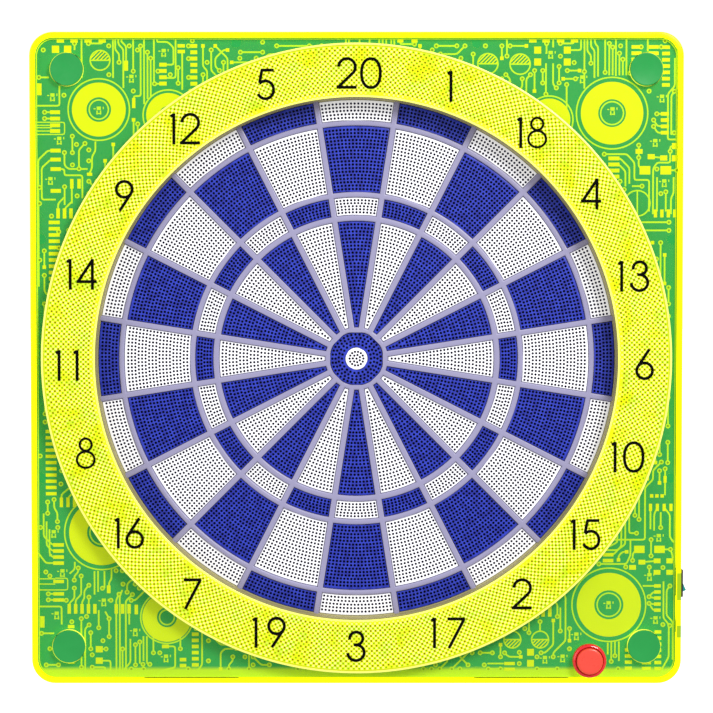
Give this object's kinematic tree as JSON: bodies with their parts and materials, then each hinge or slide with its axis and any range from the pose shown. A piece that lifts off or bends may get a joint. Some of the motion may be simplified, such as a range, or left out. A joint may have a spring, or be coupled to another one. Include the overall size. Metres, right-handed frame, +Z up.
{
  "type": "electronic dartboard",
  "caption": "Square clear fluorescent case with a printed film, a raised number ring and pressable blue and white scoring keys, a red push button and a side rocker switch.",
  "frame": {"origin": "middle of the case's back face, on the wall plane", "axes": "+Z up, +X to the player's right, +Y into the wall, so the target faces -Y"},
  "size_m": [0.5016, 0.063, 0.4962],
  "materials": {
    "clear_yellow": "clear fluorescent yellow moulding, bright at its edges",
    "film_green": "printed polyester film, green with a yellow-green circuit pattern",
    "inner_frame": "moulded yellow-green frame",
    "ring_yellow": "fluorescent yellow moulding, perforated",
    "spider_lavender": "lavender-grey moulding, satin",
    "key_blue": "blue moulding, perforated",
    "key_white": "white moulding, perforated",
    "cap_green": "green disc with a spun sheen",
    "black_rubber": "moulded rubber sheet",
    "foot_rubber": "soft pad",
    "film_clear": "printed membrane film",
    "film_spacer": "spacer film",
    "backing_board": "pressed fibre board",
    "black_plastic": "fine spark-eroded texture",
    "screw_steel": "zinc plated",
    "screw_black": "black zinc plated",
    "circuit_board": "green solder mask",
    "chip_black": "moulded packages",
    "connector_white": "moulded connector",
    "speaker_steel": "plated basket",
    "speaker_paper": "black paper cone",
    "battery_wrap": "shrink wrap",
    "socket_steel": "plated shell",
    "button_red_bezel": "gloss red",
    "button_red_cap": "gloss red, a little lighter",
    "spring_steel": "bright wire",
    "switch_black": "moulded",
    "rocker_black": "very dark maroon to black",
    "rocker_teal": "teal rocker",
    "terminal_brass": "tinned blades",
    "wire_red": "insulated leads"
  },
  "bodies": {
    "case": {"front_cover": "clear_yellow", "artwork_film": "film_green", "chassis_frame": "inner_frame", "number_ring": "ring_yellow", "number_ring_screws": "screw_steel", "spider": "spider_lavender", "spider_screws": "screw_steel", "rubber_sheet": "black_rubber", "sensor_film_front": "film_clear", "sensor_spacer": "film_spacer", "sensor_film_rear": "film_clear", "backing_plate": "backing_board", "backing_screws": "screw_steel", "rear_cover": "black_plastic", "rear_cover_screws": "screw_black", "corner_caps": "cap_green", "foot_pads": "foot_rubber", "control_board": "circuit_board", "control_board_parts": "chip_black", "control_board_screws": "screw_steel", "ribbon_tail": "film_clear", "ribbon_connector": "connector_white", "speaker_frame": "speaker_steel", "speaker_cone": "speaker_paper", "battery_pack": "battery_wrap", "charge_socket": "socket_steel", "charge_board": "circuit_board", "charge_board_screws": "screw_steel", "button_body": "button_red_bezel", "button_spring": "spring_steel", "button_switch": "switch_black", "rocker_housing": "rocker_black", "rocker_terminals": "terminal_brass", "button_wires": "wire_red", "rocker_wires": "wire_red", "battery_wires": "wire_red"},
    "button": {"button_cap": "button_red_cap"},
    "rocker": {"rocker_lever": "rocker_teal"},
    "bull_inner_key": {"bull_inner": "key_white"},
    "bull_outer_key": {"bull_outer": "key_blue"},
    "keys_20": {"sector_20": "key_blue"},
    "keys_01": {"sector_01": "key_white"},
    "keys_18": {"sector_18": "key_blue"},
    "keys_04": {"sector_04": "key_white"},
    "keys_13": {"sector_13": "key_blue"},
    "keys_06": {"sector_06": "key_white"},
    "keys_10": {"sector_10": "key_blue"},
    "keys_15": {"sector_15": "key_white"},
    "keys_02": {"sector_02": "key_blue"},
    "keys_17": {"sector_17": "key_white"},
    "keys_03": {"sector_03": "key_blue"},
    "keys_19": {"sector_19": "key_white"},
    "keys_07": {"sector_07": "key_blue"},
    "keys_16": {"sector_16": "key_white"},
    "keys_08": {"sector_08": "key_blue"},
    "keys_11": {"sector_11": "key_white"},
    "keys_14": {"sector_14": "key_blue"},
    "keys_09": {"sector_09": "key_white"},
    "keys_12": {"sector_12": "key_blue"},
    "keys_05": {"sector_05": "key_white"}
  },
  "joints": [
    {"name": "button_press", "type": "slide", "parent": "case", "child": "button", "axis": [0, 1, 0], "range_m": [0, 0.003], "stiffness_N_per_m": 400, "springref_m": -0.002, "deforming": ["button_spring"]},
    {"name": "rocker_tilt", "type": "hinge", "parent": "case", "child": "rocker", "pos_m": [0.2495, -0.028, -0.1735], "axis": [0, 1, 0], "range_deg": [0, 24]},
    {"name": "bull_inner_press", "type": "slide", "parent": "case", "child": "bull_inner_key", "axis": [0, 1, 0], "range_m": [0, 0.0012], "stiffness_N_per_m": 3000, "springref_m": -0.0004},
    {"name": "bull_outer_press", "type": "slide", "parent": "case", "child": "bull_outer_key", "axis": [0, 1, 0], "range_m": [0, 0.0012], "stiffness_N_per_m": 3000, "springref_m": -0.0004},
    {"name": "sector_20_press", "type": "slide", "parent": "case", "child": "keys_20", "axis": [0, 1, 0], "range_m": [0, 0.0012], "stiffness_N_per_m": 3000, "springref_m": -0.0004},
    {"name": "sector_01_press", "type": "slide", "parent": "case", "child": "keys_01", "axis": [0, 1, 0], "range_m": [0, 0.0012], "stiffness_N_per_m": 3000, "springref_m": -0.0004},
    {"name": "sector_18_press", "type": "slide", "parent": "case", "child": "keys_18", "axis": [0, 1, 0], "range_m": [0, 0.0012], "stiffness_N_per_m": 3000, "springref_m": -0.0004},
    {"name": "sector_04_press", "type": "slide", "parent": "case", "child": "keys_04", "axis": [0, 1, 0], "range_m": [0, 0.0012], "stiffness_N_per_m": 3000, "springref_m": -0.0004},
    {"name": "sector_13_press", "type": "slide", "parent": "case", "child": "keys_13", "axis": [0, 1, 0], "range_m": [0, 0.0012], "stiffness_N_per_m": 3000, "springref_m": -0.0004},
    {"name": "sector_06_press", "type": "slide", "parent": "case", "child": "keys_06", "axis": [0, 1, 0], "range_m": [0, 0.0012], "stiffness_N_per_m": 3000, "springref_m": -0.0004},
    {"name": "sector_10_press", "type": "slide", "parent": "case", "child": "keys_10", "axis": [0, 1, 0], "range_m": [0, 0.0012], "stiffness_N_per_m": 3000, "springref_m": -0.0004},
    {"name": "sector_15_press", "type": "slide", "parent": "case", "child": "keys_15", "axis": [0, 1, 0], "range_m": [0, 0.0012], "stiffness_N_per_m": 3000, "springref_m": -0.0004},
    {"name": "sector_02_press", "type": "slide", "parent": "case", "child": "keys_02", "axis": [0, 1, 0], "range_m": [0, 0.0012], "stiffness_N_per_m": 3000, "springref_m": -0.0004},
    {"name": "sector_17_press", "type": "slide", "parent": "case", "child": "keys_17", "axis": [0, 1, 0], "range_m": [0, 0.0012], "stiffness_N_per_m": 3000, "springref_m": -0.0004},
    {"name": "sector_03_press", "type": "slide", "parent": "case", "child": "keys_03", "axis": [0, 1, 0], "range_m": [0, 0.0012], "stiffness_N_per_m": 3000, "springref_m": -0.0004},
    {"name": "sector_19_press", "type": "slide", "parent": "case", "child": "keys_19", "axis": [0, 1, 0], "range_m": [0, 0.0012], "stiffness_N_per_m": 3000, "springref_m": -0.0004},
    {"name": "sector_07_press", "type": "slide", "parent": "case", "child": "keys_07", "axis": [0, 1, 0], "range_m": [0, 0.0012], "stiffness_N_per_m": 3000, "springref_m": -0.0004},
    {"name": "sector_16_press", "type": "slide", "parent": "case", "child": "keys_16", "axis": [0, 1, 0], "range_m": [0, 0.0012], "stiffness_N_per_m": 3000, "springref_m": -0.0004},
    {"name": "sector_08_press", "type": "slide", "parent": "case", "child": "keys_08", "axis": [0, 1, 0], "range_m": [0, 0.0012], "stiffness_N_per_m": 3000, "springref_m": -0.0004},
    {"name": "sector_11_press", "type": "slide", "parent": "case", "child": "keys_11", "axis": [0, 1, 0], "range_m": [0, 0.0012], "stiffness_N_per_m": 3000, "springref_m": -0.0004},
    {"name": "sector_14_press", "type": "slide", "parent": "case", "child": "keys_14", "axis": [0, 1, 0], "range_m": [0, 0.0012], "stiffness_N_per_m": 3000, "springref_m": -0.0004},
    {"name": "sector_09_press", "type": "slide", "parent": "case", "child": "keys_09", "axis": [0, 1, 0], "range_m": [0, 0.0012], "stiffness_N_per_m": 3000, "springref_m": -0.0004},
    {"name": "sector_12_press", "type": "slide", "parent": "case", "child": "keys_12", "axis": [0, 1, 0], "range_m": [0, 0.0012], "stiffness_N_per_m": 3000, "springref_m": -0.0004},
    {"name": "sector_05_press", "type": "slide", "parent": "case", "child": "keys_05", "axis": [0, 1, 0], "range_m": [0, 0.0012], "stiffness_N_per_m": 3000, "springref_m": -0.0004}
  ]
}
